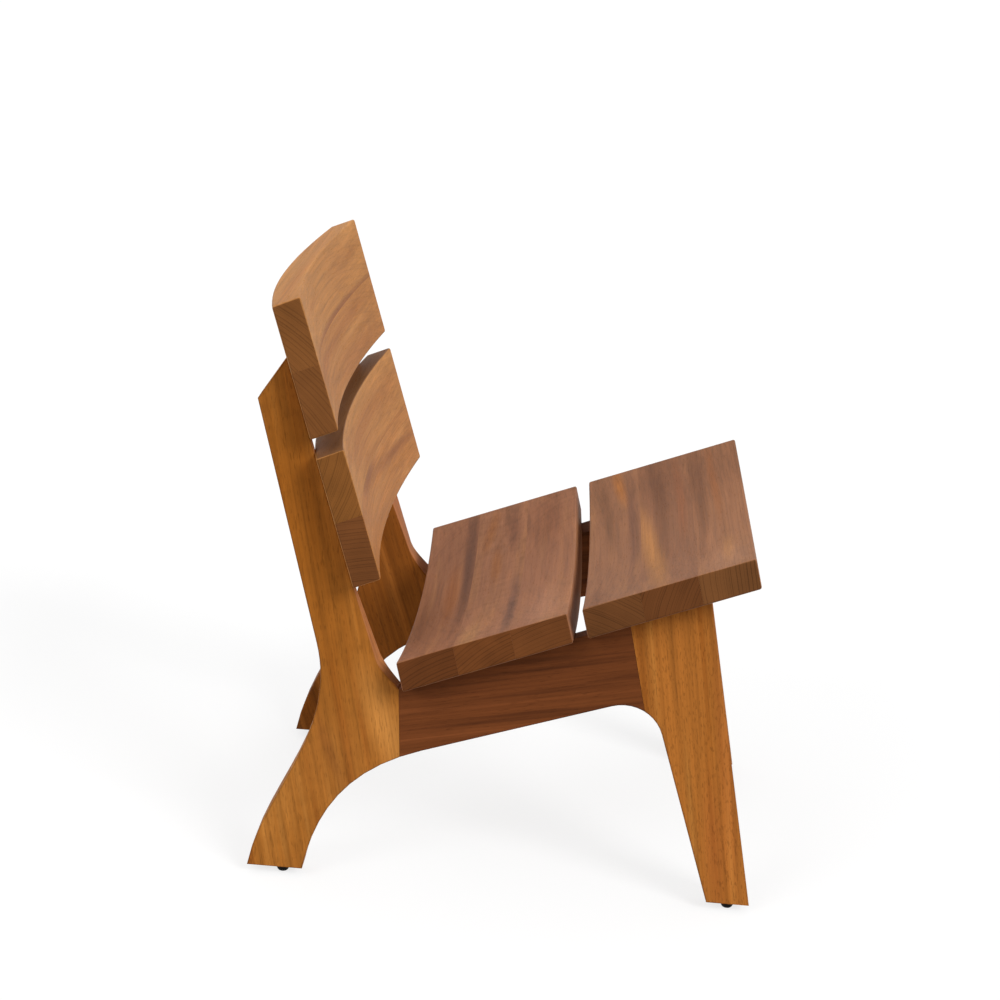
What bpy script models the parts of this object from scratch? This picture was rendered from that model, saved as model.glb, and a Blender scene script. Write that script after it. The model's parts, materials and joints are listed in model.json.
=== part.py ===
"""Low armless lounge chair in solid hardwood, modelled piece by piece.

Two sawn side frames (rear post, side rail and front leg, flush on loose tenons) carry two curved seat
slabs and two curved back slabs on hidden dowels. Metres, +Z up, the sitter faces -Y, and the sitter's
right hand is at -X. The side drawing has y to the rear of the seat's front top edge and z above the
undersides of the feet. An offset is measured to the rear from the seat's rear top edge.
"""

import math

import bmesh
import bpy
from mathutils import Matrix, Vector

# Slabs: width across the chair, depth of the hollow sawn into their faces, how much thicker they are in
# the middle than at their ends, and eased arrises
SLAB_WIDTH = 0.600
SLAB_HOLLOW = 0.020
SLAB_BELLY = 0.0055
SLAB_ARRIS = 0.0025
ARC_STEPS = 20

# Seat: height of its front top edge, slope down to the rear, its boards, and how far their long edges
# lean from square, positive with the underside to the rear
SEAT_FRONT_HEIGHT = 0.4565
SEAT_TILT = math.radians(21.6)
SEAT_THICKNESS = 0.0375
SEAT_BOARD_WIDTH = 0.0713
SEAT_GAP = 0.0185
SEAT_EDGE_LEAN = math.radians(6.0)

# Back: its lower front edge, measured from the seat's rear top edge, its boards, and how far their long
# edges lean from square, negative with the rear face lower
BACK_SETBACK = 0.0236
BACK_RISE = 0.1022
BACK_LEAN = math.radians(18.7)
BACK_THICKNESS = 0.035
BACK_BOARD_WIDTH = 0.0815
BACK_GAP = 0.0235
BACK_EDGE_LEAN = math.radians(-4.8)

# Side frames: how far the slabs stand out past them, their thickness and eased arrises
SLAB_OVERHANG = 0.038
FRAME_THICKNESS = 0.040
FRAME_ARRIS = 0.0025
ARRIS_STEPS = 2

# Front leg: foot, lean of its two long edges, and the fillet under the rail
FRONT_FOOT_Y = -0.0363
FRONT_FOOT_LENGTH = 0.053
FRONT_LEG_LEAN = math.radians(11.8)
FRONT_LEG_BACK_LEAN = math.radians(18.8)
LEG_FILLET = 0.050

# Side rail: where its underside runs into the rear arch, the rail's depth there, and the underside's slope
ARCH_START_OFFSET = -0.0350
RAIL_DEPTH = 0.0909
RAIL_SLOPE = math.radians(18.8)

# Rear leg: foot, the lean of both edges at the foot, and the reach of the sweeping curves
REAR_FOOT_OFFSET = 0.1037
REAR_FOOT_LENGTH = 0.0686
FOOT_FRONT_LEAN = math.radians(9.0)
FOOT_BACK_LEAN = math.radians(8.3)
ARCH_REACH = 0.0965
FOOT_FRONT_REACH = 0.0769
WAIST_REACH = 0.093
FOOT_BACK_REACH = 0.086

# Rear post: waist at the hip, level with the rear joint's top, back edge, pointed top above the lower edge
# of the upper back slab, the back edge's end below that, and the sweep that rises from the rear joint
WAIST_OFFSET = 0.0931
WAIST_RADIUS = 0.180
POST_BACK_LEAN = math.radians(15.9)
POST_TIP_RISE = 0.0744
POST_BACK_DROP = 0.0523
SWEEP_OFFSET = 0.0271
SWEEP_RISE = 0.0349
SWEEP_REACH = 0.012
SWEEP_END_LEAN = math.radians(45.0)
SWEEP_END_REACH = 0.018
CURVE_STEPS = 10

# Joints in the side frame: place of the top of each, and lean from upright, positive top to the rear
REAR_JOINT_OFFSET = -0.0028
REAR_JOINT_LEAN = math.radians(4.1)
FRONT_JOINT_Y = 0.1399
FRONT_JOINT_LEAN = math.radians(13.7)

# Loose tenons, two in each joint
TENON_LENGTH = 0.050
TENON_WIDTH = 0.026
TENON_THICKNESS = 0.010
TENON_PITCH = 0.038
REAR_TENON_DEPTH = 0.043
FRONT_TENON_DEPTH = 0.062
TENON_STEPS = 6

# Dowels between frame and slabs, and where the upper back slab's pair sits above its lower edge
DOWEL_RADIUS = 0.005
DOWEL_LENGTH = 0.034
DOWEL_BITE = 0.016
DOWEL_CHAMFER = 0.001
DOWEL_SIDES = 16
UPPER_DOWEL_LOW = 0.015
UPPER_DOWEL_HIGH = 0.056

# Domed glides nailed under the feet, and how far behind each foot's front edge they sit
GLIDE_RADIUS = 0.0085
GLIDE_HEIGHT = 0.011
GLIDE_FLAT_RADIUS = 0.004
GLIDE_RIM = 0.0015
GLIDE_SIDES = 24
NAIL_RADIUS = 0.0015
NAIL_LENGTH = 0.024
NAIL_POINT = 0.004
NAIL_BASE = 0.002
NAIL_SIDES = 10
FRONT_GLIDE_INSET = 0.026
REAR_GLIDE_INSET = 0.0255

# Fits: clearance of what seats in a hole or on a face, and the width of saw and glue lines
FIT_GAP = 0.0003
GLUE_LINE = 0.0003
CUT_TOLERANCE = 1e-7
SHARP_ANGLE = math.radians(30)

HALF_SLAB = SLAB_WIDTH / 2
FRAME_OUTER = HALF_SLAB - SLAB_OVERHANG
FRAME_INNER = FRAME_OUTER - FRAME_THICKNESS
FRAME_MIDDLE = FRAME_OUTER - FRAME_THICKNESS / 2
SIDES = {"right": -1, "left": 1}
SEAT_BOARDS = ("front", "middle", "rear")
BACK_BOARDS = ("lower", "upper")


def hollow(x):
    """How far a slab's face lies below the line of its ends, at x across the chair."""
    radius = (HALF_SLAB ** 2 + SLAB_HOLLOW ** 2) / (2 * SLAB_HOLLOW)
    return math.sqrt(radius ** 2 - x ** 2) - (radius - SLAB_HOLLOW)


class SlabPlane:
    """A slanted plane of slabs: local y runs along the slabs, local z out of their faces."""

    def __init__(self, y, z, turn, thickness, edge_lean):
        self.matrix = Matrix.Translation((0, y, z)) @ Matrix.Rotation(turn, 4, "X")
        self.turn = turn
        self.thickness = thickness
        self.edge_slope = -math.tan(edge_lean)

    def point(self, along, out, x=0.0):
        return self.matrix @ Vector((x, along, out))

    def direction(self, along, out, x=0.0):
        return self.matrix.to_3x3() @ Vector((x, along, out))

    def under(self, x):
        """Local z of the slabs' hidden face at x, on the faceted arc's chord."""
        return -hollow(x) * (1 + SLAB_BELLY / SLAB_HOLLOW) - self.thickness


SEAT_DEPTH = SEAT_BOARD_WIDTH * len(SEAT_BOARDS)
BACK_HEIGHT = BACK_BOARD_WIDTH * len(BACK_BOARDS)
SEAT = SlabPlane(0, SEAT_FRONT_HEIGHT, -SEAT_TILT, SEAT_THICKNESS, SEAT_EDGE_LEAN)
SEAT_REAR = SEAT.point(2 * SEAT_DEPTH + SEAT_GAP, 0)
BACK_Y = SEAT_REAR.y + BACK_SETBACK
BACK_Z = SEAT_REAR.z + BACK_RISE
ARCH_START_Y = SEAT_REAR.y + ARCH_START_OFFSET
REAR_FOOT_Y = SEAT_REAR.y + REAR_FOOT_OFFSET
WAIST_Y = SEAT_REAR.y + WAIST_OFFSET
SWEEP_Y = SEAT_REAR.y + SWEEP_OFFSET
REAR_JOINT_Y = SEAT_REAR.y + REAR_JOINT_OFFSET
BACK = SlabPlane(BACK_Y, BACK_Z, math.pi / 2 - BACK_LEAN, BACK_THICKNESS, BACK_EDGE_LEAN)


def leaning(lean):
    """Direction in the side drawing that rises with this lean to the rear."""
    return Vector((math.sin(lean), math.cos(lean)))


def meet(point_a, direction_a, point_b, direction_b):
    """Where two lines of the side drawing cross."""
    across = Vector((-direction_b.y, direction_b.x))
    reach = (point_b - point_a).dot(across) / direction_a.dot(across)
    return point_a + direction_a * reach


def sweep(start, start_handle, end_handle, end):
    """Points of a cubic curve, without its first point."""
    points = []
    for step in range(1, CURVE_STEPS + 1):
        t = step / CURVE_STEPS
        s = 1 - t
        first_half = s ** 3 * start + 3 * s * s * t * start_handle
        last_half = 3 * s * t * t * end_handle + t ** 3 * end
        points.append(first_half + last_half)
    return points


def fillet(corner, toward_start, toward_end, radius):
    """Points of an arc that rounds a corner between two unit directions leading away from it."""
    half_angle = toward_start.angle(toward_end) / 2
    reach = radius / math.tan(half_angle)
    bisector = (toward_start + toward_end).normalized()
    centre = corner + bisector * (radius / math.sin(half_angle))
    first = corner + toward_start * reach - centre
    last = corner + toward_end * reach - centre
    turn = first.angle_signed(last)
    points = []
    for step in range(CURVE_STEPS + 1):
        angle = -turn * step / CURVE_STEPS
        points.append(centre + Matrix.Rotation(angle, 2) @ first)
    return points


def flat(point):
    """A point of the chair, as a point of the side drawing."""
    return Vector((point.y, point.z))


def rail_top_line(x):
    """A point and the rearward direction of the rail's top, under the seat slabs, at x from the middle."""
    return flat(SEAT.point(0, SEAT.under(x) - FIT_GAP)), flat(SEAT.direction(1, 0))


def post_front_line(x):
    """A point and the upward direction of the post's front, behind the back slabs, at x from the middle."""
    bearing = BACK.under(x) - FIT_GAP
    return flat(BACK.point(BACK.edge_slope * bearing, bearing)), leaning(BACK_LEAN)


def top_at(y):
    """The point of the rail's top at y, on the side frame's outer face."""
    point, along = rail_top_line(FRAME_OUTER)
    return point + along * ((y - point.x) / along.x)


def joint_line(joint_y, lean):
    """The top point of a joint on the side frame's outer face, and the joint's upward direction."""
    return top_at(joint_y), leaning(lean)


def side_outline(x):
    """The side frame's outline at x from the middle, as one loop of (y, z) that starts at the front foot.

    The rail's top and the post's front bear on curved slabs, so they are not the same on both faces.
    """
    rear_joint = joint_line(REAR_JOINT_Y, REAR_JOINT_LEAN)
    foot_front = Vector((FRONT_FOOT_Y, 0))
    foot_back = foot_front + Vector((FRONT_FOOT_LENGTH, 0))
    arch_start = top_at(ARCH_START_Y) - Vector((0, RAIL_DEPTH))
    rail_forward = Vector((-math.cos(RAIL_SLOPE), math.sin(RAIL_SLOPE)))
    leg_up = leaning(FRONT_LEG_BACK_LEAN)
    corner = meet(foot_back, leg_up, arch_start, rail_forward)
    rear_front = Vector((REAR_FOOT_Y, 0))
    rear_back = rear_front + Vector((REAR_FOOT_LENGTH, 0))
    waist = Vector((WAIST_Y, rear_joint[0].y))

    outline = [foot_front, foot_back]
    outline += fillet(corner, -leg_up, -rail_forward, LEG_FILLET)
    outline.append(arch_start)
    outline += sweep(
        arch_start,
        arch_start - rail_forward * ARCH_REACH,
        rear_front + leaning(-FOOT_FRONT_LEAN) * FOOT_FRONT_REACH,
        rear_front,
    )
    outline.append(rear_back)
    outline += sweep(
        rear_back,
        rear_back + leaning(-FOOT_BACK_LEAN) * FOOT_BACK_REACH,
        waist - Vector((0, WAIST_REACH)),
        waist,
    )
    for step in range(1, CURVE_STEPS // 2 + 1):
        angle = POST_BACK_LEAN * 2 * step / CURVE_STEPS
        outline.append(waist + WAIST_RADIUS * Vector((1 - math.cos(angle), math.sin(angle))))
    back_edge = leaning(POST_BACK_LEAN)
    tip_height = BACK.point(BACK_HEIGHT + BACK_GAP, 0).z + POST_TIP_RISE
    back_end = outline[-1] + back_edge * ((tip_height - POST_BACK_DROP - outline[-1].y) / back_edge.y)
    tip = meet(*post_front_line(FRAME_OUTER), Vector((0, tip_height)), Vector((1, 0)))
    slab_edge, slab_up = post_front_line(x)
    outline += [back_end, meet(slab_edge, slab_up, back_end, tip - back_end), slab_edge]
    sweep_start = Vector((SWEEP_Y, rear_joint[0].y + SWEEP_RISE))
    outline.append(sweep_start)
    top_point, top_along = rail_top_line(x)
    joint_top = meet(top_point, top_along, *rear_joint)
    outline += sweep(
        sweep_start,
        sweep_start + (sweep_start - slab_edge).normalized() * SWEEP_REACH,
        joint_top + leaning(SWEEP_END_LEAN) * SWEEP_END_REACH,
        joint_top,
    )
    outline.append(meet(top_point, top_along, foot_front, leaning(FRONT_LEG_LEAN)))
    return outline


def recalculated(bm):
    bmesh.ops.recalc_face_normals(bm, faces=bm.faces)
    return bm


def loft(first, last):
    """A closed solid between two flat loops with as many points each."""
    bm = bmesh.new()
    starts = [bm.verts.new(point) for point in first]
    ends = [bm.verts.new(point) for point in last]
    bm.faces.new(starts)
    bm.faces.new(ends)
    for index in range(len(starts)):
        bm.faces.new((starts[index - 1], starts[index], ends[index], ends[index - 1]))
    return recalculated(bm)


def ease(bm, edges, width):
    """Rounds these arrises."""
    bmesh.ops.bevel(bm, geom=edges, offset=width, offset_type="OFFSET", segments=ARRIS_STEPS, profile=0.5,
                    affect="EDGES", clamp_overlap=True)


def cut_away(bm, point, normal):
    """Takes off what lies beyond a plane, on its normal's side, and closes the cut."""
    everything = bm.verts[:] + bm.edges[:] + bm.faces[:]
    cut = bmesh.ops.bisect_plane(bm, geom=everything, dist=CUT_TOLERANCE, plane_co=point, plane_no=normal,
                                 clear_outer=True)
    rim = [item for item in cut["geom_cut"] if isinstance(item, bmesh.types.BMEdge)]
    bmesh.ops.holes_fill(bm, edges=rim, sides=0)
    recalculated(bm)


def make_object(name, bm, finish=None):
    """An object on the chair from a mesh in progress. Without a finish it is a cutter."""
    mesh = bpy.data.meshes.new(name)
    bm.to_mesh(mesh)
    bm.free()
    obj = bpy.data.objects.new(name, mesh)
    bpy.context.collection.objects.link(obj)
    obj.parent = chair
    if finish:
        mesh.materials.append(finish)
        mesh.shade_smooth()
        mesh.set_sharp_from_angle(angle=SHARP_ANGLE)
    else:
        obj.hide_render = True
        obj.display_type = "WIRE"
    return obj


def cut_with(obj, cutter):
    """Leaves a Boolean difference on the object."""
    modifier = obj.modifiers.new(cutter.name, "BOOLEAN")
    modifier.operation = "DIFFERENCE"
    modifier.solver = "EXACT"
    modifier.object = cutter


def finish(name, colour, roughness, metallic=0.0):
    material = bpy.data.materials.new(name)
    material.use_nodes = True
    shader = material.node_tree.nodes["Principled BSDF"]
    shader.inputs["Base Color"].default_value = (*colour, 1)
    shader.inputs["Roughness"].default_value = roughness
    shader.inputs["Metallic"].default_value = metallic
    material.diffuse_color = (*colour, 1)
    return material


def build_slab(name, plane, start, board, board_names, wood):
    """One slab, shaped whole and then ripped into its boards along the glue lines."""
    depth = board * len(board_names)
    ends = [HALF_SLAB * (2 * step / ARC_STEPS - 1) for step in range(ARC_STEPS + 1)]
    section = [(x, -hollow(x)) for x in ends] + [(x, plane.under(x)) for x in reversed(ends)]
    blank = loft([(x, 0, z) for x, z in section], [(x, depth, z) for x, z in section])
    ease(blank, [edge for edge in blank.edges if edge.calc_face_angle() > SHARP_ANGLE], SLAB_ARRIS)
    boards = []
    for index, board_name in enumerate(board_names):
        bm = blank.copy()
        if index > 0:
            cut_away(bm, (0, index * board + GLUE_LINE / 2, 0), (0, -1, 0))
        if index < len(board_names) - 1:
            cut_away(bm, (0, (index + 1) * board - GLUE_LINE / 2, 0), (0, 1, 0))
        for vert in bm.verts:
            vert.co.y += plane.edge_slope * vert.co.z
        obj = make_object(f"{name}_slab_{board_name}_board", bm, wood)
        obj.location = plane.point(start, 0)
        obj.rotation_euler = (plane.turn, 0, 0)
        boards.append(obj)
    blank.free()
    return boards


def drawn(point, x):
    """A point of the side drawing, at x across the chair."""
    return Vector((x, point.x, point.y))


def split_at(bm, line, keep_front):
    """Saws the side frame along a joint, half a glue line clear of it, and keeps one side."""
    top, up = line
    rearward = Vector((up.y, -up.x))
    away = rearward if keep_front else -rearward
    cut_away(bm, drawn(top - away * GLUE_LINE / 2, 0), drawn(away, 0))


def build_side(side_name, side, woods):
    """Rear post, side rail and front leg, shaped as one blank and sawn apart at the joints."""
    faces = [[drawn(point, side * x) for point in side_outline(x)] for x in (FRAME_OUTER, FRAME_INNER)]
    blank = loft(*faces)
    rims = [edge for edge in blank.edges if abs(edge.verts[0].co.x - edge.verts[1].co.x) < FIT_GAP]
    ease(blank, rims, FRAME_ARRIS)
    rear_joint = joint_line(REAR_JOINT_Y, REAR_JOINT_LEAN)
    front_joint = joint_line(FRONT_JOINT_Y, FRONT_JOINT_LEAN)

    post = blank.copy()
    split_at(post, rear_joint, keep_front=False)
    rail = blank.copy()
    split_at(rail, rear_joint, keep_front=True)
    split_at(rail, front_joint, keep_front=False)
    leg = blank.copy()
    split_at(leg, front_joint, keep_front=True)
    blank.free()
    return {
        "rear_post": make_object(f"rear_post_{side_name}", post, woods["legs"]),
        "side_rail": make_object(f"side_rail_{side_name}", rail, woods["rails"]),
        "front_leg": make_object(f"front_leg_{side_name}", leg, woods["legs"]),
    }


def rod(radius, low, high, sides):
    """A closed cylinder along local z."""
    bm = bmesh.new()
    place = Matrix.Translation((0, 0, (low + high) / 2))
    bmesh.ops.create_cone(bm, cap_ends=True, segments=sides, radius1=radius, radius2=radius,
                          depth=high - low, matrix=place)
    return recalculated(bm)


def lathe(profile, sides):
    """A closed solid turned about local z from (radius, z) points that start and end on the axis."""
    bm = bmesh.new()
    verts = [bm.verts.new((radius, 0, z)) for radius, z in profile]
    edges = [bm.edges.new(pair) for pair in zip(verts, verts[1:])]
    bmesh.ops.spin(bm, geom=verts + edges, cent=(0, 0, 0), axis=(0, 0, 1), angle=math.tau, steps=sides,
                   use_merge=True)
    bmesh.ops.remove_doubles(bm, verts=bm.verts, dist=CUT_TOLERANCE)
    return recalculated(bm)


def tenon_solid(grown=0.0):
    """A loose tenon with round edges: length along local y, width along local z."""
    radius = TENON_THICKNESS / 2
    straight = TENON_WIDTH / 2 - radius
    section = []
    for end, first in ((straight, 0.0), (-straight, math.pi)):
        for step in range(TENON_STEPS + 1):
            angle = first + math.pi * step / TENON_STEPS
            section.append((math.cos(angle) * (radius + grown), end + math.sin(angle) * (radius + grown)))
    reach = TENON_LENGTH / 2 + grown
    return loft([(x, -reach, z) for x, z in section], [(x, reach, z) for x, z in section])


def dowel_solid():
    """A dowel along local z with chamfered ends, its slab end up, from the seam between slab and frame."""
    low = DOWEL_BITE - DOWEL_LENGTH
    tip = DOWEL_RADIUS - DOWEL_CHAMFER
    profile = [
        (0, DOWEL_BITE),
        (tip, DOWEL_BITE),
        (DOWEL_RADIUS, DOWEL_BITE - DOWEL_CHAMFER),
        (DOWEL_RADIUS, low + DOWEL_CHAMFER),
        (tip, low),
        (0, low),
    ]
    return lathe(profile, DOWEL_SIDES)


def glide_solid():
    """A domed glide with a small flat to stand on and a flat top under the foot."""
    profile = [(0, GLIDE_HEIGHT - FIT_GAP), (GLIDE_RADIUS, GLIDE_HEIGHT - FIT_GAP)]
    for step in range(CURVE_STEPS // 2 + 1):
        angle = math.pi * step / CURVE_STEPS
        radius = GLIDE_FLAT_RADIUS + (GLIDE_RADIUS - GLIDE_FLAT_RADIUS) * math.cos(angle)
        height = (GLIDE_HEIGHT - FIT_GAP - GLIDE_RIM) * (1 - math.sin(angle))
        profile.append((radius, height))
    profile.append((0, 0))
    return lathe(profile, GLIDE_SIDES)


def nail_solid():
    """A nail along local z, its blunt end in the glide and its point up in the foot."""
    top = NAIL_BASE + NAIL_LENGTH
    profile = [(0, top), (NAIL_RADIUS, top - NAIL_POINT), (NAIL_RADIUS, NAIL_BASE), (0, NAIL_BASE)]
    return lathe(profile, NAIL_SIDES)


class Drill:
    """Collects the holes of each piece and cuts them in one go."""

    def __init__(self):
        self.holes = {}

    def hole(self, pieces, bm, matrix):
        """Adds one hole, shaped by a mesh in progress at a place on the chair, to each piece."""
        bm.transform(matrix)
        shape = bpy.data.meshes.new("hole")
        bm.to_mesh(shape)
        bm.free()
        for piece in pieces:
            if piece.name not in self.holes:
                self.holes[piece.name] = bmesh.new()
            self.holes[piece.name].from_mesh(shape)
        bpy.data.meshes.remove(shape)

    def cut(self):
        for name, bm in self.holes.items():
            cut_with(bpy.data.objects[name], make_object(f"holes_in_{name}", bm))


def copies(mesh_name, bm, wood):
    """Returns a function that puts a copy of one shared mesh on the chair."""
    first = make_object(mesh_name, bm, wood)
    mesh = first.data
    bpy.data.objects.remove(first)

    def put(name, matrix):
        obj = bpy.data.objects.new(name, mesh)
        bpy.context.collection.objects.link(obj)
        obj.parent = chair
        obj.location = matrix.to_translation()
        obj.rotation_euler = matrix.to_euler()
        return obj

    return put


def join_sides(sides, drill, put_tenon):
    """Two loose tenons in each joint of each side frame."""
    joints = (
        ("rear", REAR_JOINT_Y, REAR_JOINT_LEAN, REAR_TENON_DEPTH, ("rear_post", "side_rail")),
        ("front", FRONT_JOINT_Y, FRONT_JOINT_LEAN, FRONT_TENON_DEPTH, ("side_rail", "front_leg")),
    )
    for side_name, side in SIDES.items():
        for name, y, lean, depth, joined in joints:
            top, up = joint_line(y, lean)
            for place, shift in (("upper", TENON_PITCH / 2), ("lower", -TENON_PITCH / 2)):
                centre = drawn(top - up * (depth - shift), side * FRAME_MIDDLE)
                matrix = Matrix.Translation(centre) @ Matrix.Rotation(-lean, 4, "X")
                put_tenon(f"{name}_tenon_{place}_{side_name}", matrix)
                drill.hole([sides[side_name][piece] for piece in joined], tenon_solid(FIT_GAP), matrix)


def seat_bearer(point):
    """Which piece of the side frame lies under a dowel of the seat."""
    top, up = joint_line(FRONT_JOINT_Y, FRONT_JOINT_LEAN)
    ahead = (flat(point) - top).dot(Vector((up.y, -up.x)))
    return "front_leg" if ahead < 0 else "side_rail"


def board_middle(index, board):
    """Distance along a slab to the middle of one of its boards."""
    return (index + 0.5) * board


def fix_slab(name, plane, start, board, boards, places, sides, drill, put_dowel):
    """Dowels from both side frames into one slab, at these distances along it."""
    for side_name, side in SIDES.items():
        for place, along in places:
            seam = plane.point(start + along, plane.under(FRAME_MIDDLE), side * FRAME_MIDDLE)
            matrix = Matrix.Translation(seam) @ Matrix.Rotation(plane.turn, 4, "X")
            put_dowel(f"{name}_dowel_{place}_{side_name}", matrix)
            bearer = seat_bearer(seam) if plane is SEAT else "rear_post"
            low = DOWEL_BITE - DOWEL_LENGTH - FIT_GAP
            bore = rod(DOWEL_RADIUS + FIT_GAP, low, DOWEL_BITE + FIT_GAP, DOWEL_SIDES)
            drill.hole([sides[side_name][bearer], boards[int(along / board)]], bore, matrix)


def shoe_feet(sides, drill, put_glide, put_nail):
    """A glide and its nail under every foot."""
    feet = (
        ("front", FRONT_FOOT_Y + FRONT_GLIDE_INSET, "front_leg"),
        ("rear", REAR_FOOT_Y + REAR_GLIDE_INSET, "rear_post"),
    )
    for side_name, side in SIDES.items():
        for name, y, piece in feet:
            matrix = Matrix.Translation((side * FRAME_MIDDLE, y, -GLIDE_HEIGHT))
            glide = put_glide(f"{name}_glide_{side_name}", matrix)
            glide.data = glide.data.copy()
            put_nail(f"{name}_glide_nail_{side_name}", matrix)
            top = NAIL_BASE + NAIL_LENGTH + FIT_GAP
            bore = rod(NAIL_RADIUS + FIT_GAP, NAIL_BASE - FIT_GAP, top, NAIL_SIDES)
            drill.hole([sides[side_name][piece], glide], bore, matrix)


def stand_on_origin():
    """Moves the chair so that the middle of its box's underside is at the origin."""
    bpy.context.view_layer.update()
    points = []
    for obj in chair.children:
        if not obj.hide_render:
            points += [obj.matrix_world @ vert.co for vert in obj.data.vertices]
    lows = [min(point[axis] for point in points) for axis in range(3)]
    highs = [max(point[axis] for point in points) for axis in range(3)]
    chair.location = (-(lows[0] + highs[0]) / 2, -(lows[1] + highs[1]) / 2, -lows[2])


for old in list(bpy.data.objects):
    bpy.data.objects.remove(old)
chair = bpy.data.objects.new("chair", None)
bpy.context.collection.objects.link(chair)

woods = {
    "legs": finish("golden_wood", (0.38, 0.15, 0.03), 0.45),
    "rails": finish("red_brown_wood", (0.13, 0.040, 0.013), 0.45),
    "seat": finish("seat_wood", (0.22, 0.10, 0.050), 0.45),
    "back": finish("back_wood", (0.40, 0.19, 0.075), 0.45),
}
hidden_wood = finish("dowel_wood", (0.60, 0.42, 0.24), 0.6)
black = finish("glide_black", (0.012, 0.012, 0.012), 0.4)
steel = finish("nail_steel", (0.55, 0.55, 0.56), 0.35, 1.0)

side_frames = {}
for side_name, side in SIDES.items():
    side_frames[side_name] = build_side(side_name, side, woods)

drill = Drill()
join_sides(side_frames, drill, copies("loose_tenon", tenon_solid(), hidden_wood))
put_dowel = copies("dowel", dowel_solid(), hidden_wood)
slabs = (
    ("front_seat", SEAT, 0, SEAT_BOARD_WIDTH, SEAT_BOARDS, "seat",
     (("front", board_middle(1, SEAT_BOARD_WIDTH)), ("rear", board_middle(2, SEAT_BOARD_WIDTH)))),
    ("rear_seat", SEAT, SEAT_DEPTH + SEAT_GAP, SEAT_BOARD_WIDTH, SEAT_BOARDS, "seat",
     (("front", board_middle(0, SEAT_BOARD_WIDTH)), ("rear", board_middle(2, SEAT_BOARD_WIDTH)))),
    ("lower_back", BACK, 0, BACK_BOARD_WIDTH, BACK_BOARDS, "back",
     (("lower", board_middle(0, BACK_BOARD_WIDTH)), ("upper", board_middle(1, BACK_BOARD_WIDTH)))),
    ("upper_back", BACK, BACK_HEIGHT + BACK_GAP, BACK_BOARD_WIDTH, BACK_BOARDS, "back",
     (("lower", UPPER_DOWEL_LOW), ("upper", UPPER_DOWEL_HIGH))),
)
for name, plane, start, board, board_names, wood, places in slabs:
    boards = build_slab(name, plane, start, board, board_names, woods[wood])
    fix_slab(name, plane, start, board, boards, places, side_frames, drill, put_dowel)
put_glide = copies("glide", glide_solid(), black)
put_nail = copies("glide_nail", nail_solid(), steel)
shoe_feet(side_frames, drill, put_glide, put_nail)
drill.cut()
stand_on_origin()
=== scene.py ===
"""Looks of the low slatted lounge chair: its woods, glides, floor, light and camera."""

import json
import math

import bpy
from mathutils import Matrix, Quaternion, Vector


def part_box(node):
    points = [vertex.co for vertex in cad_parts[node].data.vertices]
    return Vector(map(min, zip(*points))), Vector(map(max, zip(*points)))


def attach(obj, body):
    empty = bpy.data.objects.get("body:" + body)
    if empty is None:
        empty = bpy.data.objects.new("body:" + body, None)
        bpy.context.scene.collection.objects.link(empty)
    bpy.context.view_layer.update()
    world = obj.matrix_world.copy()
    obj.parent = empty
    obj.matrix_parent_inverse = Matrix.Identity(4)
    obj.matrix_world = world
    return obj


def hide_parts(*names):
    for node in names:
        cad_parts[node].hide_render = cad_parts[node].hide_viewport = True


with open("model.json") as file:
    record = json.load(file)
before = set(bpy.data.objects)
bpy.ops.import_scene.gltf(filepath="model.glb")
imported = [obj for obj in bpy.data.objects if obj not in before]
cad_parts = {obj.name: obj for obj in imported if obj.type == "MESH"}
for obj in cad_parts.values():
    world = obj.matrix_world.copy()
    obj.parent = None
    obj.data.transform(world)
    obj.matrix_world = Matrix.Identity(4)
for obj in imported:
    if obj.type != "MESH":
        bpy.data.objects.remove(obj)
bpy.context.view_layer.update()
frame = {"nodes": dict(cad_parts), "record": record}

# Material slot of each piece, from the record
SLOTS = {part["node"]: part["material_slot"] for part in frame["record"]["subparts"]}

MM = 0.001

# Slopes of the seat and back slabs, and of the grain in the side frames
SEAT_TILT = math.radians(21.6)
BACK_LEAN = math.radians(18.7)
LEG_GRAIN_LEAN = math.radians(9.0)
RAIL_GRAIN_SLOPE = math.radians(12.0)
POST_GRAIN_LEAN = math.radians(12.0)
FAR_POST_GRAIN_LEAN = math.radians(20.0)

# Joining and shading of the pieces, and how far a board's faces grow to close its glue lines
WELD = 0.02 * MM
ROUND_ANGLE = math.radians(50)
GLUE_CLOSE = 0.13 * MM

# How far each board's grain is moved along from the last one's, so that no two boards look alike
SEAT_SHIFT = 1.37
BACK_SHIFT_START, BACK_SHIFT = 11.3, 1.91
FRAME_SHIFT_START, FRAME_SHIFT, FAR_SHIFT = 23.1, 2.3, 0.7
RING_SHIFT = 7.0

# Camera: place, direction and roll worked out from the photo's straight edges
CAMERA_PLACE = Vector((-3.1224, -0.0621, 1.2776))
CAMERA_AZIMUTH = math.radians(-88.33)
CAMERA_ELEVATION = math.radians(15.13)
CAMERA_ROLL = math.radians(4.09)
CAMERA_LENS = 90.0
CAMERA_REACH = 200.0

# Light: a pale room, a wide soft light overhead and one on each side above the camera, each with its
# direction, spread and strength
ROOM_LIGHT = 0.25
SOFT_LIGHTS = {
    "soft_top": (Vector((-0.10, -0.05, 1.00)), math.radians(120), 1.20),
    "soft_key": (Vector((-0.62, -0.55, 0.55)), math.radians(24), 1.95),
    "soft_fill": (Vector((-0.70, 0.53, 0.50)), math.radians(26), 0.90),
}

# Floor: its tone to the light, and its tone and glow to the camera
FLOOR_HALF = 30.0
FLOOR_TONE = 0.45
FLOOR_SEEN_TONE = 0.24
FLOOR_GLOW = 0.77
FLOOR_ROUGHNESS = 0.9


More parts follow.
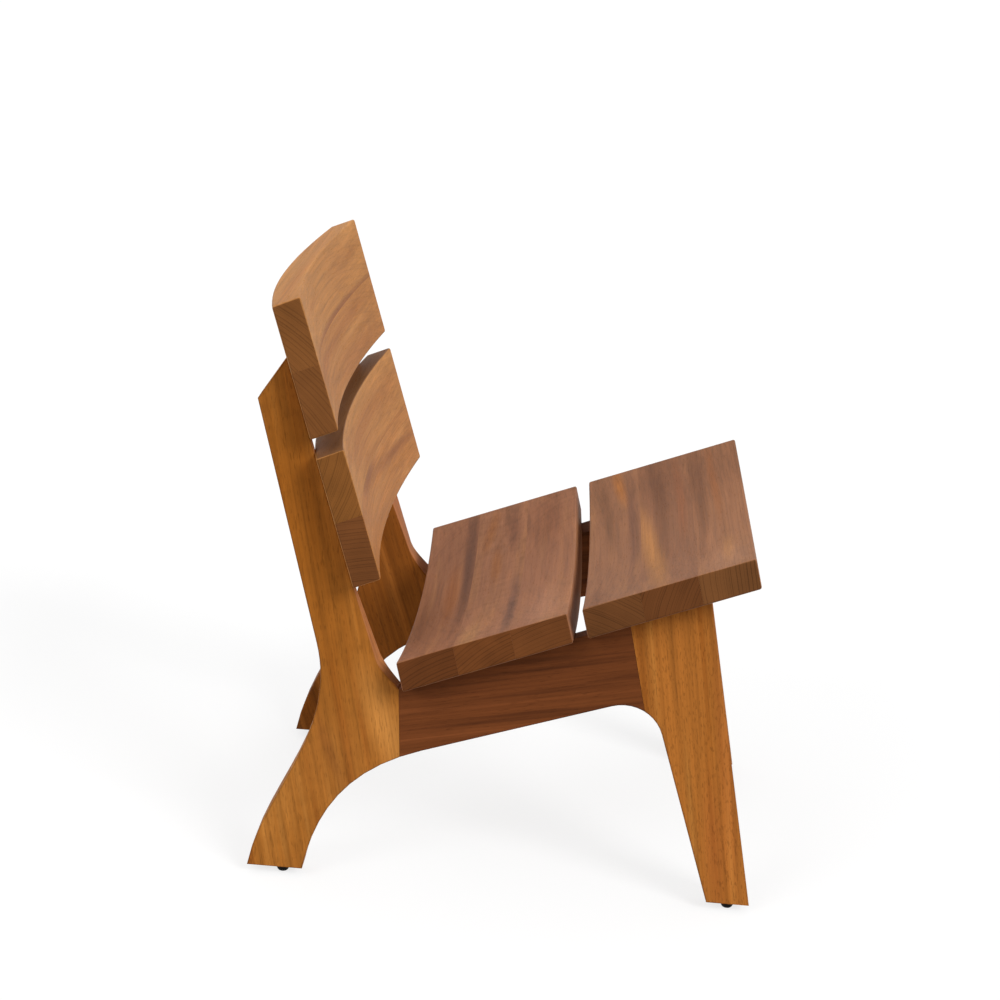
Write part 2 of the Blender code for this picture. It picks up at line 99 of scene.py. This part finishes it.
def tone(red, green, blue):
    """A colour as seen on screen, in 0 to 255, as the shader's own linear colour."""
    steps = []
    for part in (red, green, blue):
        part /= 255
        steps.append(part / 12.92 if part < 0.04045 else ((part + 0.055) / 1.055) ** 2.4)
    return (*steps, 1.0)


def grey(level):
    """A plain grey, from black at nought to white at one."""
    return (level, level, level, 1.0)


class Value:
    """A number or vector that varies over a surface. Arithmetic on numbers adds Math nodes."""

    def __init__(self, finish, socket):
        self.finish = finish
        self.socket = socket

    def __add__(self, other):
        return self.finish.math("ADD", self, other)

    __radd__ = __add__

    def __sub__(self, other):
        return self.finish.math("SUBTRACT", self, other)

    def __rsub__(self, other):
        return self.finish.math("SUBTRACT", other, self)

    def __mul__(self, other):
        return self.finish.math("MULTIPLY", self, other)

    __rmul__ = __mul__


class Finish:
    """A material, built up node by node."""

    def __init__(self, name):
        self.material = bpy.data.materials.new(name)
        self.material.use_nodes = True
        self.tree = self.material.node_tree
        self.shader = self.tree.nodes["Principled BSDF"]

    def feed(self, socket, value):
        """Links a varying value to a socket, or sets a plain one on it."""
        if isinstance(value, Value):
            self.tree.links.new(value.socket, socket)
        else:
            socket.default_value = value

    def node(self, kind, settings, inputs, output=0):
        """Adds a node with its settings and its inputs, and returns one of its outputs."""
        made = self.tree.nodes.new(kind)
        for name, value in settings.items():
            setattr(made, name, value)
        for name, value in inputs.items():
            self.feed(made.inputs[name], value)
        return Value(self, made.outputs[output])

    def math(self, operation, first, second=0.0):
        """Sums with numbers."""
        return self.node("ShaderNodeMath", {"operation": operation}, {0: first, 1: second})

    def vector(self, operation, first, second, output=0):
        """Sums with vectors."""
        return self.node("ShaderNodeVectorMath", {"operation": operation}, {0: first, 1: second}, output)

    def length(self, vector, kept):
        """The length of a vector, of which only some axes are kept."""
        return self.vector("LENGTH", self.vector("MULTIPLY", vector, kept), (0, 0, 0), "Value")

    def parts(self, vector):
        """The three numbers of a vector."""
        return [self.node("ShaderNodeSeparateXYZ", {}, {0: vector}, axis) for axis in "XYZ"]

    def place(self):
        """Where a point lies in the object's own frame."""
        return self.node("ShaderNodeTexCoord", {}, {}, "Object")

    def turned(self, vector, place, turn, scale=(1, 1, 1)):
        """A vector as seen from a place with its own turn and scale."""
        inputs = {"Vector": vector, "Location": place, "Rotation": turn, "Scale": scale}
        return self.node("ShaderNodeMapping", {"vector_type": "TEXTURE"}, inputs)

    def noise(self, vector, cycles, detail=2.0, roughness=0.5, output=0):
        """Smooth noise with so many cycles in a metre along each axis."""
        waves = self.vector("MULTIPLY", vector, cycles)
        inputs = {"Vector": waves, "Scale": 1.0, "Detail": detail, "Roughness": roughness}
        return self.node("ShaderNodeTexNoise", {}, inputs, output)

    def ramp(self, value, low, high, start=0.0, end=1.0):
        """Eases from start to end while the value goes from low to high."""
        inputs = {"Value": value, "From Min": low, "From Max": high, "To Min": start, "To Max": end}
        return self.node("ShaderNodeMapRange", {"interpolation_type": "SMOOTHSTEP"}, inputs)

    def blend(self, share, first, second):
        """A mix of two colours."""
        return self.node("ShaderNodeMix", {"data_type": "RGBA"}, {0: share, 6: first, 7: second}, 2)

    def lit(self, colour, light):
        """A colour made lighter or darker by a number."""
        if not isinstance(colour, Value):
            colour = colour[:3]
        return self.node("ShaderNodeVectorMath", {"operation": "SCALE"}, {0: colour, "Scale": light})

    def surface(self, colour, roughness, sheen, height, bump_strength, bump_depth):
        """Gives the shader its colour, its roughness and sheen, and its relief."""
        self.feed(self.shader.inputs["Base Color"], colour)
        self.feed(self.shader.inputs["Roughness"], roughness)
        self.feed(self.shader.inputs["Specular IOR Level"], sheen)
        inputs = {"Strength": bump_strength, "Distance": bump_depth, "Height": height}
        self.feed(self.shader.inputs["Normal"], self.node("ShaderNodeBump", {}, inputs))


class Wood:
    """Solid wood in its board's own axes: along the grain, across the face and into the depth.

    Noises are given as cycles in a metre along those axes, then detail and roughness. A pair of levels
    says where a pattern starts to come in, or to fade, and where it has done so.
    """

    # Growth rings round the tree's heart
    ring_density = 620.0
    ring_detail = 3.0
    ring_levels = (0.47, 0.70)
    ring_middle = 0.4
    ring_strength = 0.08

    # Slow wander of the grain
    wander = (30 * MM, 9 * MM, 5 * MM)
    wander_noise = ((2.2, 9.0, 9.0), 3.0, 0.5)

    # Fine threads and wider ribbons of light and dark, and cloudy figure
    thread_noise = ((7.0, 330.0, 330.0), 4.0, 0.6)
    thread_strength = 0.70
    ribbon_noise = ((2.4, 100.0, 100.0), 2.0, 0.5)
    ribbon_strength = 0.55
    figure_size = (26.0, 14.0, 14.0)
    figure_strength = 0.10

    # Bands of the dark and the light tone, and soft ends of single streaks
    band_size = (1.4, 34.0, 34.0)
    band_detail = (3.0, 0.55)
    dark_levels = (0.52, 0.70)
    dark_share = 0.55
    light_levels = (0.48, 0.30)
    light_share = 0.45
    streak_levels = (0.1, 1.3)

    # Short dark pores
    dash_size = (70.0, 950.0, 950.0)
    dash_detail = 1.0
    dash_levels = (0.60, 0.70)
    dash_strength = 0.16
    dash_slant = 0.0
    dash_light = 0.45

    # End grain, shown where the surface faces along the grain
    end_levels = (0.62, 0.93)
    end_light = 0.84
    end_rings = 0.70
    end_lines = 0.56
    end_figure = 0.8
    end_pits = 0.18
    pit_noise = ((900.0, 900.0, 900.0), 1.0)
    pit_levels = (0.60, 0.75)

    # Painted light and shade: another tone laid on the edge that faces up or to the front, and painted
    # shade darkening the arrises
    painted_side_levels = (0.7, 0.9)
    painted_side_sign = 1
    painted_side_share = 0.0
    painted_side_tone = (96, 62, 42)
    arris_rise = (0.18, 0.42)
    arris_fall = (0.88, 0.985)
    painted_arris_shade = -0.08

    # Surface: how rough it is, how that varies, its sheen and its relief
    roughness = 0.55
    thread_roughness = 0.14
    dash_roughness = 0.16
    end_roughness = 0.14
    arris_polish = 0.05
    sheen = 0.06
    thread_height = 0.5
    dash_depth = 0.9
    ring_depth = 0.5
    bump_strength = 0.20
    bump_depth = 0.30 * MM

    def __init__(self, base, dark, light, end, heart, streaks=(), **changes):
        self.base = tone(*base)
        self.dark = tone(*dark)
        self.light = tone(*light)
        self.end = tone(*end)
        self.heart = heart
        self.streaks = streaks
        for name, value in changes.items():
            setattr(self, name, value)

    def material(self, name, place, turn, shift):
        """The finish of one board, whose pattern is moved along its grain by a shift."""
        f = Finish(name)
        board = f.turned(f.place(), place, turn)
        moved = f.vector("ADD", board, (shift, 0, 0))
        stir = f.noise(moved, *self.wander_noise, "Color")
        drift = f.node("ShaderNodeVectorMath", {"operation": "MULTIPLY_ADD"},
                       {0: stir, 1: self.wander, 2: Vector(self.wander) * -0.5})
        grain = f.vector("ADD", board, drift)
        fibre = f.vector("ADD", moved, drift)

        from_heart = f.length(f.turned(grain, (0, *self.heart), (0, 0, 0)), (0, 1, 1))
        ring_place = from_heart * self.ring_density + shift * RING_SHIFT
        ring_inputs = {"W": ring_place, "Scale": 1.0, "Detail": self.ring_detail}
        rings = f.node("ShaderNodeTexNoise", {"noise_dimensions": "1D"}, ring_inputs)
        lines = f.ramp(rings, *self.ring_levels)
        threads = f.noise(fibre, *self.thread_noise)
        ribbons = f.noise(fibre, *self.ribbon_noise)
        figure = f.noise(fibre, self.figure_size)
        slanted = f.turned(fibre, (0, 0, 0), (0, 0, math.radians(self.dash_slant)))
        dashes = f.ramp(f.noise(slanted, self.dash_size, self.dash_detail), *self.dash_levels)

        colour = self.streaked(f, grain, f.noise(fibre, self.band_size, *self.band_detail))
        light = 1 + self.thread_strength * (threads - 0.5) + self.ribbon_strength * (ribbons - 0.5)
        light = light + self.figure_strength * (figure - 0.5)
        light = light - self.ring_strength * (lines - self.ring_middle)
        side = f.blend(dashes * self.dash_strength, f.lit(colour, light), f.lit(colour, self.dash_light))

        facing = f.node("ShaderNodeTexCoord", {}, {}, "Normal")
        faced_along, faced_across, faced_out = f.parts(f.turned(facing, (0, 0, 0), turn))
        end_grain = f.ramp(f.math("ABSOLUTE", faced_along), *self.end_levels)
        # Painted light and shade on the edge faces turned to one side
        if self.painted_side_share:
            edge = f.ramp(faced_across * self.painted_side_sign, *self.painted_side_levels, 0.0, self.painted_side_share)
            side = f.blend(edge, side, f.lit(tone(*self.painted_side_tone), light))
        out = f.math("ABSOLUTE", faced_out)
        arris = f.ramp(out, *self.arris_rise) * f.ramp(out, *self.arris_fall, 1.0, 0.0)

        pits = f.ramp(f.noise(grain, *self.pit_noise), *self.pit_levels)
        end_light = self.end_light + self.end_rings * rings - self.end_lines * lines
        end_light = end_light + self.end_figure * (figure - 0.5) - self.end_pits * pits
        colour = f.blend(end_grain, side, f.lit(self.end, end_light))
        # Painted shade darkening the arrises
        colour = f.lit(colour, 1 + self.painted_arris_shade * arris)

        rough = self.roughness + self.thread_roughness * (threads - 0.5) + self.dash_roughness * dashes
        rough = rough + self.end_roughness * end_grain - self.arris_polish * arris
        height = self.thread_height * threads - self.dash_depth * dashes
        height = height - self.ring_depth * lines * end_grain
        f.surface(colour, rough, self.sheen, height, self.bump_strength, self.bump_depth)
        return f.material

    def streaked(self, f, grain, bands):
        """The board's tones, banded along the grain, with its own streaks over them."""
        colour = f.blend(f.ramp(bands, *self.dark_levels, 0.0, self.dark_share), self.base, self.dark)
        colour = f.blend(f.ramp(bands, *self.light_levels, 0.0, self.light_share), colour, self.light)
        for across, along, width, length, slant, share, shade in self.streaks:
            middle = (along * MM, across * MM, 0)
            spot = f.turned(grain, middle, (0, 0, math.radians(slant)), (length * MM, width * MM, 1))
            near = f.length(spot, (1, 1, 0))
            colour = f.blend(f.ramp(near, *self.streak_levels, share, 0.0), colour, tone(*shade))
        return colour


def finished(name, material):
    """A piece in its finish: the CAD piece, its facets joined and its curves and arrises shaded round."""
    node = frame["nodes"][name]
    piece = node.copy()
    piece.data = node.data.copy()
    piece.parent = None
    piece.name = f"{name}_finished"
    bpy.context.scene.collection.objects.link(piece)
    bpy.ops.object.select_all(action="DESELECT")
    bpy.context.view_layer.objects.active = piece
    piece.select_set(True)
    bpy.ops.mesh.customdata_custom_splitnormals_clear()
    bpy.ops.object.mode_set(mode="EDIT")
    bpy.ops.mesh.select_all(action="SELECT")
    bpy.ops.mesh.remove_doubles(threshold=WELD)
    bpy.ops.mesh.normals_make_consistent(inside=False)
    if "_board" in name:
        bpy.ops.transform.shrink_fatten(value=GLUE_CLOSE, use_even_offset=True)
    bpy.ops.object.mode_set(mode="OBJECT")
    bpy.ops.object.shade_smooth_by_angle(angle=ROUND_ANGLE, keep_sharp_edges=False)
    even = piece.modifiers.new("even_light", "WEIGHTED_NORMAL")
    even.keep_sharp = True
    bpy.ops.object.modifier_apply(modifier=even.name)
    piece.data.materials.clear()
    piece.data.materials.append(material)
    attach(piece, "root")
    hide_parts(name)


def dress(name, wood, turn, shift):
    """Finishes a piece in a wood whose pattern starts from the middle of the piece."""
    low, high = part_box(name)
    finished(name, wood.material(f"{name}_wood", (low + high) / 2, turn, shift))


def turn_of(along, across):
    """The turn of a board whose grain runs along one direction and whose face spans another."""
    return Matrix((along, across, along.cross(across))).transposed().to_euler()


def upright_turn(lean):
    """The turn of an upright board whose grain leans to the rear and whose face spans front to rear."""
    along = Vector((0, math.sin(lean), math.cos(lean)))
    return turn_of(along, Vector((0, math.cos(lean), -math.sin(lean))))


# Woods of the slabs: base, dark and light tone, end grain and the heart's place, across and deep in metres.
# Their streaks: across and along from the board's middle, width and length, all in mm, then the slant in
# degrees, the share of the tone and the tone
# The back slabs' tones are painted lighter than the seat slabs', as painted light on their front faces, and
# the seat's are darker and paler, as painted shade and painted reflection on its tops
SEAT_DARK, SEAT_LIGHT = (116, 76, 52), (170, 118, 76)
BACK_DARK, BACK_LIGHT = (157, 99, 54), (198, 142, 85)

# Darker far end of two boards of the front seat slab
FAR_SHADE = (0, 230, 60, 160, 0, 0.5, (106, 69, 48))

SEAT_WOODS = {
    "front_seat_slab_front_board": Wood(
        (148, 101, 70), SEAT_DARK, SEAT_LIGHT, (105, 66, 35), (-0.30, -0.04),
        (
            # A lighter, pinker patch near the near end: a painted reflection of the pale room
            (-8, -240, 30, 90, 0, 0.6, (168, 120, 88)),
            (22, 150, 12, 230, 0, 0.8, (112, 74, 50)),
            (0, 170, 7, 200, 0, 0.7, (160, 98, 54)),
            (-6, -180, 9, 90, 0, 0.6, (170, 118, 72)),
            FAR_SHADE,
        ),
        ring_strength=0.16,
    ),
    "front_seat_slab_middle_board": Wood(
        (140, 95, 67), SEAT_DARK, SEAT_LIGHT, (94, 55, 27), (-0.17, -0.106),
        (
            (20, -90, 16, 270, 4, 0.9, (172, 118, 68)),
            (6, 120, 11, 260, 0, 0.9, (112, 74, 50)),
            (-22, 140, 8, 200, 0, 0.6, (150, 92, 58)),
            FAR_SHADE,
        ),
    ),
    "front_seat_slab_rear_board": Wood(
        (143, 98, 69), SEAT_DARK, SEAT_LIGHT, (94, 57, 29), (0.14, -0.14),
        (
            (-26, 60, 10, 300, 0, 0.8, (110, 74, 56)),
            (9, 150, 12, 220, 3.5, 0.8, (116, 78, 54)),
            (-11, 245, 9, 90, 4, 0.8, (166, 104, 52)),
        ),
    ),
    "rear_seat_slab_front_board": Wood(
        (150, 101, 72), SEAT_DARK, SEAT_LIGHT, (100, 58, 28), (-0.04, -0.30),
        (
            # A lighter, pinker patch near the near end: a painted reflection of the pale room
            (-4, -200, 26, 120, 0, 0.6, (164, 116, 88)),
            (4, 190, 26, 130, 0, 0.7, (126, 80, 54)),
        ),
    ),
    "rear_seat_slab_middle_board": Wood(
        (152, 103, 73), SEAT_DARK, SEAT_LIGHT, (98, 56, 26), (-0.07, -0.19),
        (
            (15, -260, 15, 90, 0, 0.7, (170, 122, 78)),
            (3, 66, 9, 90, 0, 0.7, (156, 98, 52)),
            (14, 215, 10, 90, -6, 0.7, (156, 98, 54)),
            (-31, -160, 9, 190, 0, 0.9, (108, 74, 58)),
            (-20, 205, 10, 100, 0, 0.7, (112, 72, 52)),
        ),
        figure_strength=0.45, figure_size=(70.0, 34.0, 34.0),
    ),
    "rear_seat_slab_rear_board": Wood(
        (146, 97, 68), SEAT_DARK, SEAT_LIGHT, (93, 52, 24), (-0.045, -0.195),
        (
            (-10, -13, 11, 140, 0, 0.7, (158, 96, 52)),
            (-29, 100, 10, 300, 0, 0.9, (104, 68, 50)),
            (22, -150, 12, 150, 0, 0.6, (122, 78, 52)),
        ),
    ),
}
BACK_WOODS = {
    "lower_back_slab_lower_board": Wood(
        (175, 117, 65), BACK_DARK, BACK_LIGHT, (101, 60, 30), (-0.30, -0.03),
        (
            (34, -70, 10, 120, 0, 0.9, (140, 88, 52)),
            (8, 170, 9, 200, -4, 0.8, (142, 90, 52)),
            (-10, 210, 9, 140, -4, 0.7, (176, 116, 60)),
        ),
        ring_strength=0.14,
    ),
    "lower_back_slab_upper_board": Wood(
        (181, 125, 71), BACK_DARK, BACK_LIGHT, (117, 73, 33), (0.154, -0.197),
        ((0, 200, 34, 150, 0, 0.6, (168, 110, 60)),),
        # Its top edge is painted darker: painted shade under the upper slab, over a darker edge of the wood
        painted_side_share=0.75,
    ),
    "upper_back_slab_lower_board": Wood(
        (171, 115, 64), BACK_DARK, BACK_LIGHT, (109, 67, 33), (-0.117, -0.22),
        ((-26, 160, 18, 200, 0, 0.6, (164, 106, 60)),),
    ),
    "upper_back_slab_upper_board": Wood(
        (181, 125, 71), BACK_DARK, BACK_LIGHT, (114, 71, 35), (-0.154, -0.197),
        ((12, 150, 40, 140, 0, 0.5, (162, 108, 62)), (-38, 60, 9, 380, 0, 0.9, (138, 86, 52))),
    ),
}

SIDEWAYS = Vector((1, 0, 0))
seat_turn = turn_of(SIDEWAYS, Vector((0, math.cos(SEAT_TILT), -math.sin(SEAT_TILT))))
back_turn = turn_of(SIDEWAYS, Vector((0, math.sin(BACK_LEAN), math.cos(BACK_LEAN))))
for number, (name, wood) in enumerate(SEAT_WOODS.items()):
    dress(name, wood, seat_turn, SEAT_SHIFT * number)
for number, (name, wood) in enumerate(BACK_WOODS.items()):
    dress(name, wood, back_turn, BACK_SHIFT_START + BACK_SHIFT * number)

# Woods of the side frames, each with the turn of its grain. The far post's wood is painted darker, as
# painted shade on its inner face
LEG_DARK, LEG_LIGHT, LEG_END = (139, 77, 24), (179, 118, 53), (112, 64, 26)
POST_PATTERN = {
    "dash_size": (85.0, 520.0, 520.0),
    "figure_strength": 0.28,
    "band_size": (2.4, 42.0, 42.0),
    "painted_side_sign": -1,
}
rail_turn = turn_of(
    Vector((0, math.cos(RAIL_GRAIN_SLOPE), -math.sin(RAIL_GRAIN_SLOPE))),
    Vector((0, math.sin(RAIL_GRAIN_SLOPE), math.cos(RAIL_GRAIN_SLOPE))),
)
FRAME_WOODS = {
    "front_leg": (
        Wood(
            (161, 98, 39), LEG_DARK, LEG_LIGHT, LEG_END, (0.2, 0.3),
            ((-18, -130, 16, 110, 0, 0.5, (154, 86, 38)), (-40, -20, 12, 200, 0, 0.45, (164, 92, 42))),
            dash_size=(130.0, 620.0, 620.0), dash_levels=(0.55, 0.68), dash_strength=0.46,
            ribbon_strength=0.85, dark_share=0.7, light_share=0.6, band_size=(1.2, 60.0, 60.0),
        ),
        upright_turn(LEG_GRAIN_LEAN),
    ),
    "rear_post": (
        Wood(
            (157, 97, 37), LEG_DARK, LEG_LIGHT, LEG_END, (0.10, 0.20),
            (
                # Painted shade below the overhanging slab ends, darkening the upper post
                (13, 134, 66, 250, 2, 0.75, (138, 79, 20)),
                (20, -169, 70, 80, -10, 0.3, (160, 100, 44)),
                (-50, -141, 24, 90, 12, 0.8, (190, 128, 62)),
                (24, -160, 9, 60, 10, 0.6, (142, 85, 36)),
            ),
            dash_levels=(0.56, 0.70), dash_strength=0.38, dash_slant=-4, ribbon_strength=0.75,
            dark_share=0.75, light_share=0.6, figure_size=(60.0, 40.0, 40.0),
            # Its front faces are painted lighter: painted light from the front
            painted_side_share=0.7, painted_side_tone=(182, 118, 74), **POST_PATTERN,
        ),
        upright_turn(POST_GRAIN_LEAN),
    ),
    "side_rail": (
        Wood(
            (102, 55, 26), (76, 39, 18), (126, 70, 36), (78, 41, 20), (0.2, 0.3),
            dash_strength=0.36, dark_share=0.8, light_share=0.6, band_size=(2.2, 70.0, 70.0),
        ),
        rail_turn,
    ),
}
# Painted shade: the far post's tones are darker than the near post's
SHADED_FAR_POST = Wood(
    (122, 68, 21), (84, 43, 13), (148, 90, 38), LEG_END, (0.10, 0.20),
    thread_strength=0.90, ribbon_strength=0.95, dash_strength=0.46, dark_share=0.85,
    # Its front faces are painted lighter: painted light from the front
    painted_side_share=0.8, painted_side_tone=(176, 112, 68), **POST_PATTERN,
)
for number, (piece_name, (wood, turn)) in enumerate(FRAME_WOODS.items()):
    shift = FRAME_SHIFT_START + FRAME_SHIFT * number
    dress(f"{piece_name}_right", wood, turn, shift)
    if piece_name == "rear_post":
        wood, turn = SHADED_FAR_POST, upright_turn(FAR_POST_GRAIN_LEAN)
    dress(f"{piece_name}_left", wood, turn, shift + FAR_SHIFT)


def plain_finish(name, cycles, detail, tones, smoothest, uneven, bump, bump_depth, sheen=0.5, metallic=0.0):
    """An even finish, lightly speckled between two tones."""
    f = Finish(name)
    speckle = f.noise(f.place(), cycles, detail)
    colour = f.blend(speckle, tone(*tones[0]), tone(*tones[1]))
    f.surface(colour, smoothest + uneven * speckle, sheen, speckle, bump, bump_depth)
    f.shader.inputs["Metallic"].default_value = metallic
    return f.material


# Small pieces: pale bare wood of the hidden joinery, black glides and their steel nails
small_finishes = {
    "joint_wood": plain_finish(
        "bare_wood", (300, 60, 300), 3.0, ((196, 164, 120), (222, 194, 152)),
        smoothest=0.6, uneven=0.2, bump=0.2, bump_depth=0.2 * MM,
    ),
    "glide_plastic": plain_finish(
        "glide_black", (900, 900, 900), 2.0, ((8, 8, 8), (18, 17, 16)),
        smoothest=0.40, uneven=0.25, bump=0.15, bump_depth=0.1 * MM, sheen=0.08,
    ),
    "nail_steel": plain_finish(
        "nail_steel", (2500, 2500, 60), 2.0, ((150, 150, 152), (196, 196, 198)),
        smoothest=0.25, uneven=0.3, bump=0.1, bump_depth=0.05 * MM, metallic=1.0,
    ),
}
for name, slot in SLOTS.items():
    if slot == "glide_plastic":
        finished(name, small_finishes[slot])
    elif slot in small_finishes:
        mesh = frame["nodes"][name].data
        mesh.materials.clear()
        mesh.materials.append(small_finishes[slot])


def seen_directly(f):
    """One where a ray comes from the camera or from a shiny or clear surface, and nought for light."""
    kinds = ("Camera", "Glossy", "Transmission")
    rays = [f.node("ShaderNodeLightPath", {}, {}, f"Is {kind} Ray") for kind in kinds]
    return f.math("MINIMUM", rays[0] + rays[1] + rays[2], 1.0)


# Floor: pale and plain, white to the camera, with the chair's soft shadow kept
bpy.ops.object.select_all(action="DESELECT")
bpy.ops.mesh.primitive_plane_add(size=2 * FLOOR_HALF)
floor = bpy.context.object
floor.name = "studio_floor"
paint = Finish("studio_floor_paint")
paint.shader.inputs["Roughness"].default_value = FLOOR_ROUGHNESS
paint.shader.inputs["Specular IOR Level"].default_value = 0.0
paint.shader.inputs["Emission Strength"].default_value = FLOOR_GLOW
seen = seen_directly(paint)
paint.feed(paint.shader.inputs["Base Color"], paint.blend(seen, grey(FLOOR_TONE), grey(FLOOR_SEEN_TONE)))
paint.feed(paint.shader.inputs["Emission Color"], paint.blend(seen, grey(0.0), grey(1.0)))
floor.data.materials.append(paint.material)


class Room(Finish):
    """The world's nodes, written the same way as a material's."""

    def __init__(self, world):
        self.tree = world.node_tree


# Room: even pale light, and plain white behind the floor
room = bpy.data.worlds.new("studio_room")
room.use_nodes = True
bpy.context.scene.world = room
walls = Room(room)
background = room.node_tree.nodes["Background"]
background.inputs["Color"].default_value = grey(1.0)
walls.feed(background.inputs["Strength"], ROOM_LIGHT + seen_directly(walls) * (1 - ROOM_LIGHT))

for name, (direction, spread, strength) in SOFT_LIGHTS.items():
    lamp = bpy.data.lights.new(name, "SUN")
    lamp.energy = strength
    lamp.angle = spread
    light = bpy.data.objects.new(name, lamp)
    light.rotation_euler = direction.to_track_quat("Z", "Y").to_euler()
    bpy.context.scene.collection.objects.link(light)

# Camera at the photo's viewing angle
lens = bpy.data.cameras.new("camera")
lens.lens = CAMERA_LENS
lens.clip_end = CAMERA_REACH
camera = bpy.data.objects.new("camera", lens)
backward = Vector((
    math.sin(CAMERA_AZIMUTH) * math.cos(CAMERA_ELEVATION),
    -math.cos(CAMERA_AZIMUTH) * math.cos(CAMERA_ELEVATION),
    math.sin(CAMERA_ELEVATION),
))
level = (-backward).to_track_quat("-Z", "Y")
camera.rotation_euler = (level @ Quaternion((0, 0, 1), CAMERA_ROLL)).to_euler()
camera.location = CAMERA_PLACE
bpy.context.scene.collection.objects.link(camera)
bpy.context.scene.camera = camera
bpy.context.scene.view_settings.view_transform = "Standard"
